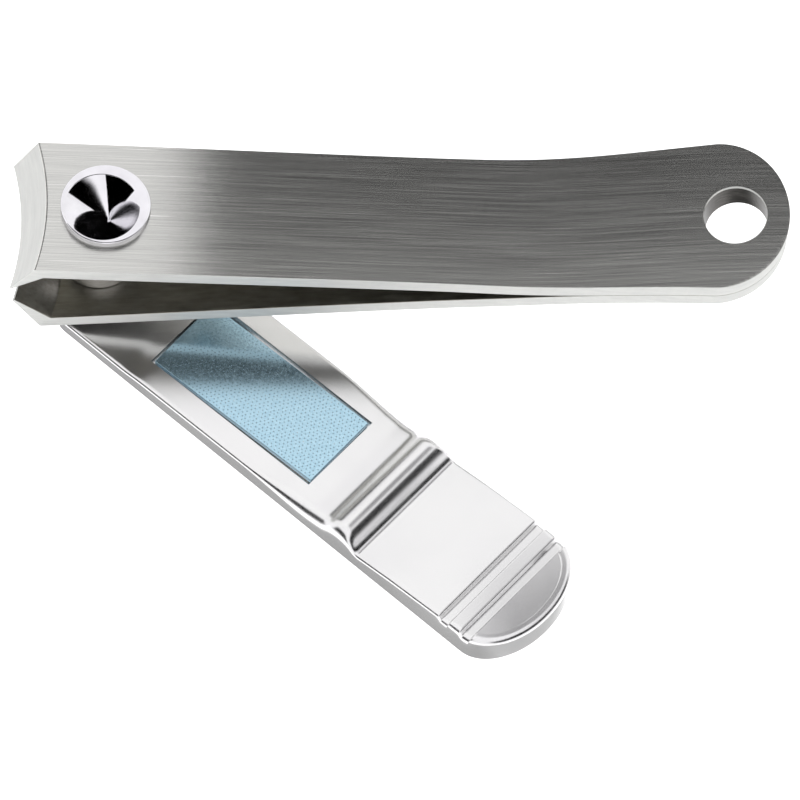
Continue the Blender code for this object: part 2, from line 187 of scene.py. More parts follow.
# The same at an azimuth and elevation from the post's head; centre and size are angles
CARD_DISTANCE = 350.0
ROUND_CARDS = (
    Card("right_card", (-29.0, 24.0), (82.0, 36.0), 40.0, 1.0, "post lever"),
    Card("front_left_card", (219.0, 23.0), (62.0, 38.0), 10.0, 1.0, "post lever"),
    Card("front_card", (257.0, 31.5), (14.0, 27.0), 4.0, 1.0, "post"),
    Card("lip_card", (142.0, 33.0), (32.0, 44.0), 15.0, 0.9, "jaws"),
    Card("step_card", (107.0, 21.0), (37.0, 38.0), 15.0, 1.0, "lever"),
    Card("far_card", (66.0, 18.0), (40.0, 34.0), 20.0, 0.6, "lever"),
    Card("crest_card", (-4.0, 50.0), (30.0, 10.0), 20.0, 0.4, "post lever"),
)
FLOOR_Z = -62.0                # low enough for the lever to turn over above it
FLOOR_GLOW = 0.5
# Small grey cards that show only in reflections: beside the lever's near wall, beyond its tip, and under
# the ring hole. The first two are placed from the lever: along it, across it, and the height.
WALL_CARD = Card("wall_card", (LEVER_LENGTH / 2, -LEVER_HALF - 2.5, 0.15), (LEVER_LENGTH + 16.0, 12.0),
                 3.0, 1.0, "")
WALL_GREY = 0.46
TIP_CARD = Card("tip_card", (LEVER_LENGTH + 6.0, -4.0, 0.25), (16.0, 30.0), 4.0, 1.0, "")
TIP_GREY = 0.62
HOLE_CARD = Card("hole_card", (RING_HOLE_X, 13.0, 0.15), (15.0, 14.0), 2.0, 1.0, "")
HOLE_GREY = 0.05

# Camera, fitted to the photo: angles in degrees, distance and aim in millimetres. The aim is measured from
# the middle of the jaws' length, the pin's Y and the jaws' top.
CAMERA_TURN = 4.97
CAMERA_DOWN = 61.28
CAMERA_ROLL = 6.43
CAMERA_AIM = (0.58, -17.59, -6.6)
CAMERA_DISTANCE = 1096.3
CAMERA_SENSOR = 36.0
CAMERA_LENS = 480.0


def smooth_step(t):
    t = min(max(t, 0.0), 1.0)
    return t * t * (3.0 - 2.0 * t)


def stations(start, end, step):
    count = max(round((end - start) / step), 1)
    return [start + (end - start) * i / count for i in range(count + 1)]


# Mesh tools

def mesh_object(name, bm, transform=Matrix.Identity(4)):
    """Turns a bmesh in millimetres into an object in metres, placed by transform."""
    bmesh.ops.recalc_face_normals(bm, faces=bm.faces)
    bmesh.ops.transform(bm, matrix=Matrix.Scale(MM, 4) @ transform, verts=bm.verts)
    mesh = bpy.data.meshes.new(name)
    bm.to_mesh(mesh)
    bm.free()
    made = bpy.data.objects.new(name, mesh)
    bpy.context.scene.collection.objects.link(made)
    return made


def bake(made):
    """Applies the object's modifiers."""
    depsgraph = bpy.context.evaluated_depsgraph_get()
    mesh = bpy.data.meshes.new_from_object(made.evaluated_get(depsgraph))
    made.modifiers.clear()
    made.data = mesh


def combine(made, tools, operation="DIFFERENCE"):
    """Cuts each tool from the object, or joins it, and removes the tool."""
    for tool in tools:
        modifier = made.modifiers.new(tool.name, "BOOLEAN")
        modifier.object = tool
        modifier.operation = operation
        modifier.solver = "EXACT"
        bake(made)
        bpy.data.objects.remove(tool)


def smooth(made, angle=30.0):
    """Smooth shading that keeps the sharp edges, with flat faces kept flat."""
    made.data.shade_smooth()
    made.data.set_sharp_from_angle(angle=math.radians(angle))
    weighted = made.modifiers.new("face_normals", "WEIGHTED_NORMAL")
    weighted.keep_sharp = True
    bake(made)


def lathe(name, profile, transform=Matrix.Identity(4), steps=128):
    """A solid turned about Z from (radius, height) points."""
    bm = bmesh.new()
    points = [bm.verts.new((r, 0, z)) for r, z in profile]
    lines = [bm.edges.new(pair) for pair in zip(points, points[1:])]
    bmesh.ops.spin(bm, geom=points + lines, cent=(0, 0, 0), axis=(0, 0, 1), angle=2 * math.pi, steps=steps,
                   use_merge=True)
    bmesh.ops.remove_doubles(bm, verts=bm.verts, dist=0.0001)
    return mesh_object(name, bm, transform)


def box(name, size, centre, transform=Matrix.Identity(4), tilt=0.0, rounding=0.0):
    bm = bmesh.new()
    bmesh.ops.create_cube(bm, size=1.0)
    bmesh.ops.scale(bm, vec=size, verts=bm.verts)
    if rounding:
        bmesh.ops.bevel(bm, geom=bm.edges, offset=rounding, segments=3, profile=0.5, affect="EDGES")
    bmesh.ops.rotate(bm, matrix=Matrix.Rotation(tilt, 3, "Y"), verts=bm.verts)
    bmesh.ops.translate(bm, vec=centre, verts=bm.verts)
    return mesh_object(name, bm, transform)


def bar(name, radius, length, transform, rounding=0.0, steps=64):
    """A round bar along Y with rounded ends."""
    half = length / 2
    turned = [(0, half)] + corner(radius, half, rounding, 90, 0) + corner(radius, -half, rounding, 0, -90)
    turned.append((0, -half))
    return lathe(name, turned, transform @ Matrix.Rotation(math.pi / 2, 4, "X"), steps)


def corner(radius, height, rounding, first, last, steps=5):
    """Points of a rounded outer corner of a turned profile, from one angle to another."""
    if not rounding:
        return [(radius, height)]
    centre_z = height - math.copysign(rounding, height) if first + last else height
    return arc((radius - rounding, centre_z), rounding, first, last, steps)


def arc(centre, radius, first, last, steps=10, stretch=1.0):
    """Points of an arc, in degrees; stretch widens it along the second axis."""
    points = []
    for i in range(steps + 1):
        angle = math.radians(first + (last - first) * i / steps)
        points.append((centre[0] + radius * math.cos(angle), centre[1] + radius * stretch * math.sin(angle)))
    return points


def prism(outline, thickness, rounding=0.0):
    """Flat outline as a solid centred on its plane, with rounded edges, as a bmesh."""
    curve = bpy.data.curves.new("outline", "CURVE")
    curve.dimensions = "2D"
    curve.fill_mode = "BOTH"
    curve.extrude = thickness / 2 - rounding
    curve.bevel_depth = rounding
    curve.bevel_resolution = 2
    curve.offset = -rounding
    spline = curve.splines.new("POLY")
    spline.points.add(len(outline) - 1)
    for point, (x, y) in zip(spline.points, outline):
        point.co = (x, y, 0, 1)
    spline.use_cyclic_u = True
    drawn = bpy.data.objects.new("outline", curve)
    bpy.context.scene.collection.objects.link(drawn)
    depsgraph = bpy.context.evaluated_depsgraph_get()
    mesh = bpy.data.meshes.new_from_object(drawn.evaluated_get(depsgraph))
    bpy.data.objects.remove(drawn)
    bm = bmesh.new()
    bm.from_mesh(mesh)
    bpy.data.meshes.remove(mesh)
    bmesh.ops.remove_doubles(bm, verts=bm.verts, dist=0.0005)
    return bm


def loft(rings):
    """A solid through rings of equally many points, capped at both ends, as a bmesh."""
    bm = bmesh.new()
    rings = [[bm.verts.new(point) for point in ring] for ring in rings]
    for low, high in zip(rings, rings[1:]):
        for i in range(len(low)):
            bm.faces.new((low[i - 1], low[i], high[i], high[i - 1]))
    bm.faces.new(rings[0])
    bm.faces.new(rings[-1])
    return bm


def slice_along(bm, axis, places):
    """Cuts the mesh's faces at the places along an axis, so that it can be bent there."""
    for place in places:
        geometry = bm.verts[:] + bm.edges[:] + bm.faces[:]
        bmesh.ops.bisect_plane(bm, geom=geometry, dist=0.0001, plane_co=axis * place, plane_no=axis)


# The jaws

def half_width(x):
    """Half of the strips' width at x, without the lip's taper."""
    if x > TAIL_X - TAIL_ROUND:
        t = min((x - TAIL_X + TAIL_ROUND) / TAIL_ROUND, 1.0)
        return (WAIST + FLARE) * math.sqrt(max(1.0 - t * t, 0.0))
    front = FRONT_EXTRA * smooth_step(-(x - 2.0) / 40.0)
    flare = max(x - FLARE_START_X, 0.0) / (TAIL_X - TAIL_ROUND - FLARE_START_X)
    return WAIST + front + FLARE * flare * flare


def soft_ramp(d):
    """Rises in step with d from zero on, with its corner rounded over WELD_ROUND on either side."""
    if d >= WELD_ROUND:
        return d
    return max(d + WELD_ROUND, 0.0) ** 2 / (4.0 * WELD_ROUND)


def splay(x):
    """Gap between the strips' inner faces at x."""
    d = soft_ramp(WELD.x - x)
    near = min(d, SPLAY_LENGTH)
    bend = (SPLAY_FAR - SPLAY_NEAR) / SPLAY_LENGTH
    return SPLAY_NEAR * near + bend * near * near / 2 + SPLAY_FAR * (d - near)


def seam(x):
    """Height of the head-side jaw's inner face at x."""
    half_turn = (SPLAY_FAR - SPLAY_NEAR) / 2 / SPLAY_LENGTH
    bent = min(max(x - (WELD.x - SPLAY_LENGTH), 0.0), SPLAY_LENGTH)
    height = JAW_TOP - PLATE + half_turn * bent * bent / 2 + SPLAY_FAR / 2 * soft_ramp(x - WELD.x)
    return height + TAIL_LIFT * smooth_step((x - TAIL_LIFT_START) / TAIL_LIFT_LENGTH)


def side_of(strip):
    return -1 if strip.upper else 1


def lip_angle(strip):
    return strip.turn if strip.upper else strip.turn - math.atan(SPLAY_FAR)


def bend_x(strip):
    return strip.edge_x + strip.lip * math.cos(lip_angle(strip))


def mitre(strip):
    return PLATE * math.tan(strip.turn / 2)


def face_point(strip, x, offset):
    base = seam(x) if strip.upper else seam(x) - splay(x)
    return Vector((x, 0, base - side_of(strip) * offset))


def lip_point(strip, along):
    bend = face_point(strip, bend_x(strip), PLATE)
    angle = lip_angle(strip)
    return Vector((bend.x - along * math.cos(angle), 0, bend.z + side_of(strip) * along * math.sin(angle)))


def strip_point(strip, s, depth):
    """Middle line of the strip at s along it, from its inner face at depth 0 to its outer one at 1."""
    start = bend_x(strip)
    reach = mitre(strip)
    if s >= start + reach + 1.0:
        return face_point(strip, s, SEAM_GAP / 2 + (PLATE - SEAM_GAP / 2) * depth)
    if s >= start:
        inner = face_point(strip, start + reach + (s - start) / (reach + 1.0), SEAM_GAP / 2)
        return inner.lerp(face_point(strip, s, PLATE), depth)
    angle = lip_angle(strip)
    inward = Vector((math.sin(angle), 0, side_of(strip) * math.cos(angle)))
    edge = lip_point(strip, strip.lip) + inward * LIP_EDGE
    inner = face_point(strip, start + reach, SEAM_GAP / 2).lerp(edge, (start - s) / strip.lip)
    return inner.lerp(lip_point(strip, start - s), depth)


def bent_point(strip, s, y, depth):
    """Where a point of the flat strip goes on the finished jaw."""
    start = bend_x(strip)
    t = (s - start + BEND_ROUND) / (2 * BEND_ROUND)
    if 0.0 < t < 1.0:
        a, b, c = (strip_point(strip, start + d, depth) for d in (-BEND_ROUND, 0.0, BEND_ROUND))
        point = a.lerp(b, t).lerp(b.lerp(c, t), t)
    else:
        point = strip_point(strip, s, depth)
    fade = 1.0 - smooth_step((s - start - mitre(strip) - 1.0) / SAG_LENGTH)
    across = y / half_width(min(s, 0.0))
    point.x += EDGE_SAG * (1.0 - across * across) * fade
    point.y = PIN.y + y
    return point


def strip_outline(strip):
    """Outline of the flat strip, from the cutting edge's corner round the tail and back."""
    start = bend_x(strip)
    first = TAIL_X - TAIL_ROUND
    side = [(start - strip.lip, half_width(FRONT_X) - LIP_TAPER)]
    side += [(s, half_width(s)) for s in stations(start, first, 1.5)]
    turns = [math.pi / 2 * i / 40 for i in range(1, 40)]
    side += [(first + TAIL_ROUND * math.sin(t), half_width(first + TAIL_ROUND * math.sin(t))) for t in turns]
    return side + [(TAIL_X, 0.0)] + [(s, -half) for s, half in reversed(side)]


def make_strip(name, strip):
    """One jaw strip, drawn flat with rounded edges, sliced and bent to shape."""
    bm = prism(strip_outline(strip), PLATE, STRIP_EDGE_R)
    start = bend_x(strip)
    run = start + mitre(strip) + 1.0
    places = [start + BEND_ROUND * t for t in (-1.0, -0.6, -0.2, 0.2, 0.6, 1.0)]
    places += stations(start - strip.lip + 0.3, start - 0.6, 0.5)
    places += stations(start + 0.6, run, 0.4) + stations(run + 0.5, run + SAG_LENGTH, 0.5)
    places += stations(run + SAG_LENGTH + 2.0, -6.0, 3.0) + stations(-4.0, TAIL_X - 0.4, 0.55)
    slice_along(bm, Vector((1, 0, 0)), places)
    slice_along(bm, Vector((0, 1, 0)), stations(-6.9, 6.9, 0.6))
    bm.normal_update()
    for face in bm.faces:
        ground = face.normal.z > 0.5 and face.calc_center_median().x < start - BEND_ROUND
        if abs(face.normal.z) < 0.5 or ground:
            face.material_index = CUT_EDGE
        elif face.normal.z < 0.0:
            face.material_index = INNER_FACE
    for vertex in bm.verts:
        s, y, t = vertex.co
        vertex.co = bent_point(strip, s, y, t / PLATE + 0.5)
    return mesh_object(name, bm)


def ring_cutter():
    """The ring hole through both strips, with a small chamfer at each outer face."""
    slope = seam(RING_HOLE_X + 0.5) - seam(RING_HOLE_X - 0.5)
    face = PLATE * math.cos(math.atan(slope))
    flare = 1.0
    wide = (RING_HOLE_R + RING_CHAMFER + flare, face + flare)
    narrow = (RING_HOLE_R, face - RING_CHAMFER)
    turned = [(0, wide[1]), wide, narrow, (narrow[0], -narrow[1]), (wide[0], -wide[1]), (0, -wide[1])]
    tilt = Matrix.Rotation(-math.atan(slope), 4, "Y")
    place = Matrix.Translation((RING_HOLE_X, PIN.y, seam(RING_HOLE_X))) @ tilt
    return lathe("ring_cutter", turned, place)


def mark_ring_hole(jaw):
    """Gives the ring hole's wall its painted-shade material and its slanting chamfers the sheared finish."""
    for polygon in jaw.data.polygons:
        centre = polygon.center / MM
        if math.hypot(centre.x - RING_HOLE_X, centre.y - PIN.y) < RING_HOLE_R + RING_CHAMFER:
            upward = abs(polygon.normal.z)
            if upward < STEEP:
                polygon.material_index = BORE_FACE
            elif upward < LEVEL:
                polygon.material_index = CUT_EDGE


def make_head_side_jaw():
    jaw = make_strip("head_side_jaw_skin", UPPER)
    slope = (HEAD_SEAT_R - SHANK_R) / (PLATE - FIT)
    turned = [(0, 1 + FIT), (HEAD_SEAT_R + RUN + slope, 1 + FIT), (SHANK_R + RUN, FIT - PLATE),
              (SHANK_R + RUN, -PLATE - 1), (0, -PLATE - 1)]
    seat = lathe("seat", turned, Matrix.Translation((PIN.x, PIN.y, JAW_TOP)))
    combine(jaw, [ring_cutter(), seat])
    mark_ring_hole(jaw)
    smooth(jaw)
    return jaw


def bush_place():
    """Middle of the lever-side jaw's thickness on the post's axis, square to the jaw."""
    middle = seam(PIN.x) - splay(PIN.x) - PLATE / 2
    return Matrix.Translation((PIN.x, PIN.y, middle)) @ Matrix.Rotation(-math.atan(SPLAY_FAR), 4, "Y")


def make_lever_side_jaw():
    jaw = make_strip("lever_side_jaw_skin", LOWER)
    upright = bush_place() @ Matrix.Rotation(math.pi / 2, 4, "X")
    hole = bar("hole", BUSH_BARREL_R + FIT, 8.0, upright, steps=96)
    combine(jaw, [ring_cutter(), hole])
    mark_ring_hole(jaw)
    smooth(jaw)
    return jaw


# Bush, post and pin

def make_bush():
    half = PLATE / 2
    top = half + BUSH_HEIGHT
    turned = arc((BUSH_BORE_R + BUSH_MOUTH_R, top - BUSH_MOUTH_R), BUSH_MOUTH_R, 180, 90, 5)
    turned[0] = (BUSH_BORE_R, top - BUSH_MOUTH_R)
    turned += arc((BUSH_R - BUSH_EDGE_R, top - BUSH_EDGE_R), BUSH_EDGE_R, 90, 0, 6)
    turned += [(BUSH_R, half + FIT + 0.05), (BUSH_R - 0.05, half + FIT), (BUSH_BARREL_R, half + FIT)]
    turned += [(BUSH_BARREL_R, 0.1 - half), (BUSH_BARREL_R - 0.1, -half), (BUSH_BORE_R, -half)]
    turned.append(turned[0])
    bush = lathe("post_bush_skin", turned, bush_place())
    smooth(bush)
    return bush


def head_profile():
    """Turned profile of the post's dished head, down to its seat, measured from the pin."""
    seat = JAW_TOP + FIT - PIN.z
    top = seat + HEAD_RIM
    steep = math.degrees(DISH_SLOPE)
    lip_r = HEAD_LIP / math.sin(math.radians(LIP_TILT))
    lip_x = HEAD_R - RIM_R
    lip = arc((lip_x, top - lip_r), lip_r, 90 + LIP_TILT, 90, 5)
    lean = math.radians(90 + LIP_TILT)
    middle = (lip[0][0] - CREASE_R * math.cos(lean), lip[0][1] - CREASE_R * math.sin(lean))
    crease = arc(middle, CREASE_R, 90 + steep, 90 + LIP_TILT, 6)
    apex = crease[0][1] - crease[0][0] * math.tan(DISH_SLOPE)
    cone = [(r, apex + r * math.tan(DISH_SLOPE)) for r in (0.25, 0.6, 1.2, 1.8, 2.4, 3.0)]
    rim = arc((lip_x, top - RIM_R), RIM_R, 90, 0, 4)[1:]
    tip = [(0, apex + 0.04), (0.08, apex + 0.07)]
    return tip + cone + crease + lip[1:] + rim + [(HEAD_R, seat + 0.08), (HEAD_R - 0.08, seat)]


def skew_dish(post):
    """Moves the dish off the head's centre: its mouth one way and its tip the other."""
    mouth_r = HEAD_R - RIM_R - HEAD_LIP
    seat = JAW_TOP + FIT
    tip = seat + HEAD_RIM - mouth_r * math.tan(DISH_SLOPE) - 0.5
    for vertex in post.data.vertices:
        point = vertex.co / MM
        radius = math.hypot(point.x - PIN.x, point.y - PIN.y)
        if point.z < tip or radius > HEAD_R - RIM_R - 0.01:
            continue
        if point.z > seat + 0.5 or radius < mouth_r * 0.9:
            fade = min((HEAD_R - RIM_R - radius) / HEAD_LIP, 1.0)
            vertex.co += DISH_TIP_SHIFT.lerp(DISH_MOUTH_SHIFT, min(radius / mouth_r, 1.0)) * fade * MM


def make_post():
    seat = JAW_TOP + FIT - PIN.z
    turned = head_profile() + [(HEAD_SEAT_R, seat), (SHANK_R, seat - PLATE), (SHANK_R, -0.4)]
    turned += [(1.75, -0.95), (1.3, -1.55), (0.8, -1.85), (0, -1.9)]
    post = lathe("post_skin", turned, ON_PIN)
    skew_dish(post)
    height = TONGUE_TOP + 4.0
    tools = []
    for side in (-1, 1):
        centre = (0, side * (TONGUE / 2 + 2.0), TONGUE_TOP - height / 2)
        tools.append(box("flat", (6.0, 4.0, height), centre, ON_PIN))
    tools.append(bar("hole", PIN_R + RUN, 8.0, ON_PIN))
    combine(post, tools)
    smooth(post)
    return post


def make_pin():
    pin = bar("cross_pin_skin", PIN_R, 2 * EAR_OUT - 0.2, ON_PIN, 0.2)
    smooth(pin)
    return pin


# The lever, in its own frame: X along it from the pin, Y across, Z up from the pin's axis

def plain_top(u):
    """Height of the lever's thumb side at u before its corners are rounded."""
    for (u0, h0), (u1, h1) in zip(PROFILE, PROFILE[1:]):
        if u <= u1:
            return LEVER_BACK + h0 + (h1 - h0) * (u - u0) / (u1 - u0)
    return LEVER_BACK + PROFILE[-1][1]


def lever_top(u):
    """The thumb side with its creases rounded: widely at the step, tightly at the grip grooves."""
    reach = GROOVE_CREASE if u > GROOVES_START else STEP_CREASE
    samples = 9
    total = 0.0
    for i in range(samples):
        total += plain_top(max(u + reach * (2.0 * i / (samples - 1) - 1.0), -LEVER_NOSE))
    return total / samples


def lever_half(u):
    """Half of the lever's width at u."""
    if u > END_CENTRE:
        t = min((u - END_CENTRE) / END_SAG, 1.0)
        return LEVER_HALF * math.sqrt(1.0 - t * t)
    short = max(NOSE_R - LEVER_NOSE - u, 0.0)
    return LEVER_HALF - NOSE_R + math.sqrt(max(NOSE_R * NOSE_R - short * short, 0.0))


def edge_distance(u, v):
    """Distance from a point inside the lever's outline to that outline."""
    if u > END_CENTRE:
        a = (u - END_CENTRE) / END_SAG
        b = v / LEVER_HALF
        rho = math.hypot(a, b)
        return (1.0 - rho) * rho / max(math.hypot(a / END_SAG, b / LEVER_HALF), 0.0001)
    inset_u = u + LEVER_NOSE
    inset_v = LEVER_HALF - abs(v)
    if inset_u < NOSE_R and inset_v < NOSE_R:
        return NOSE_R - math.hypot(NOSE_R - inset_u, NOSE_R - inset_v)
    return min(inset_u, inset_v)


def rounded_drop(distance, radius):
    """How far a rounded edge lies below its face at a distance from the outline."""
    if distance >= radius:
        return 0.0
    inside = radius - max(distance, 0.0)
    return radius - math.sqrt(radius * radius - inside * inside)


def growth(u, place):
    """Grows from 0 to 1 along the lever, over a place given as its start and length."""
    start, length = place
    return smooth_step((u - start) / length)


def top_rounding(u):
    """Radius of the thumb side's edge: widest at the step, and a little wider towards the tip."""
    at_step = growth(u, STEP_RISE) * (1.0 - growth(u, STEP_FADE))
    return TOP_ROUND + STEP_ROUND * at_step + TIP_ROUND * growth(u, TIP_RISE)


def lever_body():
    """The die casting's plate: a grid over its outline, rounded along its edges."""
    near_edge = [0.0, 0.02, 0.06, 0.12, 0.2, 0.3, 0.42, 0.56, 0.75, 1.0]
    inner = stations(1.25, 2.5, 0.25) + stations(2.9, LEVER_HALF, 0.5)
    half = [1.0 - d / LEVER_HALF for d in near_edge + inner]
    columns = half + [-f for f in reversed(half[:-1])]
    rows = [d - LEVER_NOSE for d in near_edge] + stations(0.2, 33.0, 0.5) + stations(33.2, 43.0, 0.16)
    rows += stations(43.5, 52.5, 0.5) + stations(52.8, 57.6, 0.05) + stations(57.75, 60.2, 0.15)
    rows += [LEVER_LENGTH - d for d in reversed(near_edge)]
    bm = bmesh.new()
    grids = []
    for face in (1, -1):
        grid = []
        for u in rows:
            line = []
            top_r = top_rounding(u)
            for f in columns:
                v = f * lever_half(u)
                distance = edge_distance(u, v)
                if face > 0:
                    z = lever_top(u) - rounded_drop(distance, top_r)
                else:
                    z = LEVER_BACK + rounded_drop(distance, BACK_ROUND)
                line.append(bm.verts.new((u, v, z)))
            grid.append(line)
        grids.append(grid)
    top, back = grids
    for i in range(len(rows) - 1):
        for j in range(len(columns) - 1):
            for grid in grids:
                bm.faces.new((grid[i][j], grid[i][j + 1], grid[i + 1][j + 1], grid[i + 1][j]))
        for j in (0, len(columns) - 1):
            bm.faces.new((top[i][j], top[i + 1][j], back[i + 1][j], back[i][j]))
    for i in (0, len(rows) - 1):
        for j in range(len(columns) - 1):
            bm.faces.new((top[i][j], top[i][j + 1], back[i][j + 1], back[i][j]))
    bmesh.ops.remove_doubles(bm, verts=bm.verts, dist=0.002)
    bmesh.ops.dissolve_degenerate(bm, dist=0.001, edges=bm.edges)
    return mesh_object("lever_skin", bm, ON_PIN)


def heel_outline():
    """Side view of the ears: a boss round the pin, the heel that presses the jaw, and a rib behind it."""
    heel = (HEEL_DISTANCE * math.cos(HEEL_ANGLE), HEEL_DISTANCE * math.sin(HEEL_ANGLE))
    spread = math.degrees(math.acos((EAR_R - HEEL_R) / HEEL_DISTANCE))
    tangent = 360 + math.degrees(HEEL_ANGLE) - spread
    boss = [(1.5, 0.9)] + arc((0, 0), EAR_R, 140, tangent, 24)
    return boss + arc(heel, HEEL_R, tangent, 310, 12) + [(RIB_END, LEVER_BACK + 0.5)]


def panel_outline(inset):
    """The D of the recessed end panel behind the grip grooves, drawn smaller by inset."""
    reach = END_SAG - PANEL_RIM - inset
    half = LEVER_HALF - PANEL_RIM - inset
    start_turn = math.degrees(math.asin((PANEL_START + inset - END_CENTRE) / reach))
    return arc((END_CENTRE, 0), reach, start_turn - 90, 90 - start_turn, 72, half / reach)


def panel_cutter():
    """Cutter for the end panel, with a rounded foot."""
    floor = lever_top(PANEL_START + 0.6) - PANEL_DEPTH
    rings = []
    for i in range(5):
        turn = math.pi / 8 * i
        inset = PANEL_FOOT * (1.0 - math.sin(turn))
        rings.append([(u, v, floor + PANEL_FOOT * (1.0 - math.cos(turn))) for u, v in panel_outline(inset)])
    rings.append([(u, v, floor + 4.0) for u, v in panel_outline(0.0)])
    return mesh_object("panel", loft(rings), ON_PIN)


def file_slope():
    """Slope of the lever's face under the file, as an angle."""
    first, last = 13.0, 33.0
    return math.atan((plain_top(last) - plain_top(first)) / (last - first))


def in_pocket(name, margin, from_depth, to_depth, rounding=0.0, width=FILE_WIDTH, turn=0.0):
    """A flat slab in the file's pocket, between two depths under the lever's face."""
    slope = file_slope()
    middle = FILE_START + FILE_LENGTH / 2
    depth = (from_depth + to_depth) / 2
    size = (FILE_LENGTH + 2 * margin, width + 2 * margin, to_depth - from_depth)
    centre = Vector((middle + depth * math.sin(slope), 0, plain_top(middle) - depth * math.cos(slope)))
    place = ON_PIN @ Matrix.Translation(centre) @ Matrix.Rotation(turn, 4, "Z")
    return box(name, size, (0, 0, 0), place, -slope, rounding)


def make_lever():
    lever = lever_body()
    upright = Matrix.Rotation(math.pi / 2, 4, "X")
    ears = mesh_object("ears", prism(heel_outline(), 2 * EAR_OUT, 0.15), ON_PIN @ upright)
    combine(lever, [ears], "UNION")
    slot = box("slot", (10.0, 2 * EAR_IN, 20.0), (SLOT_END - 5.0, 0, 0), ON_PIN)
    hole = bar("hole", PIN_R + RUN, 3 * LEVER_HALF, ON_PIN)
    combine(lever, [slot, hole, panel_cutter(), in_pocket("pocket", FILE_MARGIN, -2.0, POCKET_DEPTH)])
    smooth(lever)
    return lever


def make_file_points():
    """Staggered rows of fine raised points, each a little out of place."""
    middle = FILE_START + FILE_LENGTH / 2
    laid = Matrix.Rotation(PLATE_TURN, 4, "Z") @ Matrix.Rotation(-file_slope(), 4, "Y")
    face = ON_PIN @ Matrix.Translation((middle, 0, plain_top(middle))) @ laid
    rows = stations(DOT_BORDER - PLATE_WIDTH / 2, PLATE_WIDTH / 2 - DOT_BORDER, DOT_ROW)
    columns = stations(DOT_BORDER - FILE_LENGTH / 2, FILE_LENGTH / 2 - DOT_BORDER - DOT_PITCH / 2, DOT_PITCH)
    bm = bmesh.new()
    for i, v in enumerate(rows):
        for j, u in enumerate(columns):
            wander = Vector((math.sin(2.1 * i + 1.3 * j), math.cos(1.7 * i - 2.3 * j), 0)) * DOT_WANDER
            place = Vector((u + DOT_PITCH / 2 * (i % 2), v, -FILE_BURIED)) + wander
            bmesh.ops.create_cone(bm, cap_ends=True, segments=6, radius1=DOT_R, radius2=DOT_R * 0.4,
                                  depth=DOT_HEIGHT, matrix=Matrix.Translation(place))
    # the points' second material is a darker blue: painted shade on the raised points
    for polygon in bm.faces:
        polygon.material_index = 1
    return mesh_object("points", bm, face)


def make_file_plate():
    """The file plate, with its raised points as its second material."""
    bottom = FILE_BURIED + FILE_THICK
    plate = in_pocket("file_plate_skin", 0.0, FILE_BURIED, bottom, 0.05, PLATE_WIDTH, PLATE_TURN)
    points = make_file_points()
    joined = bmesh.new()
    joined.from_mesh(plate.data)
    joined.from_mesh(points.data)
    joined.to_mesh(plate.data)
    joined.free()
    bpy.data.objects.remove(points)
    return plate


# Materials

HAIRLINE = (0.86, 0.85, 0.83)


def node_material(name):
    made = bpy.data.materials.new(name)
    made.use_nodes = True
    return made, made.node_tree.nodes, made.node_tree.links, made.node_tree.nodes["Principled BSDF"]


def noise(nodes, links, scale, detail=3.0, roughness=0.5):
    """Noise in the object's own space; scale is the number of features per metre along each axis."""
    place = nodes.new("ShaderNodeTexCoord")
    stretch = nodes.new("ShaderNodeMapping")
    stretch.inputs["Scale"].default_value = scale
    texture = nodes.new("ShaderNodeTexNoise")
    texture.inputs["Scale"].default_value = 1.0
    texture.inputs["Detail"].default_value = detail
    texture.inputs["Roughness"].default_value = roughness
    links.new(place.outputs["Object"], stretch.inputs["Vector"])
    links.new(stretch.outputs["Vector"], texture.inputs["Vector"])
    return texture.outputs["Fac"]


def spread(nodes, links, value, low, high, start=0.3, end=0.7):
    """Maps noise from start..end to low..high."""
    mapped = nodes.new("ShaderNodeMapRange")
    mapped.inputs["From Min"].default_value = start
    mapped.inputs["From Max"].default_value = end
    mapped.inputs["To Min"].default_value = low
    mapped.inputs["To Max"].default_value = high
    links.new(value, mapped.inputs["Value"])
    return mapped.outputs["Result"]


def mixed(nodes, links, value, first, second):
    """Blends from a linked colour to a fixed one as value goes from 0 to 1."""
    mix = nodes.new("ShaderNodeMix")
    mix.data_type = "RGBA"
    links.new(value, mix.inputs["Factor"])
    links.new(first, mix.inputs["A"])
    mix.inputs["B"].default_value = (*second, 1)
    return mix.outputs["Result"]


def tint(nodes, links, value, dark, light, start=0.3, end=0.7):
    ramp = nodes.new("ShaderNodeValToRGB")
    ramp.color_ramp.elements[0].position = start
    ramp.color_ramp.elements[0].color = (*dark, 1)
    ramp.color_ramp.elements[1].position = end
    ramp.color_ramp.elements[1].color = (*light, 1)
    links.new(value, ramp.inputs["Fac"])
    return ramp.outputs["Color"]


def bump(nodes, links, value, distance, strength, after=None):
    """Bump node; distance is in metres."""
    made = nodes.new("ShaderNodeBump")
    made.inputs["Strength"].default_value = strength
    made.inputs["Distance"].default_value = distance
    links.new(value, made.inputs["Height"])
    if after:
        links.new(after, made.inputs["Normal"])
    return made.outputs["Normal"]


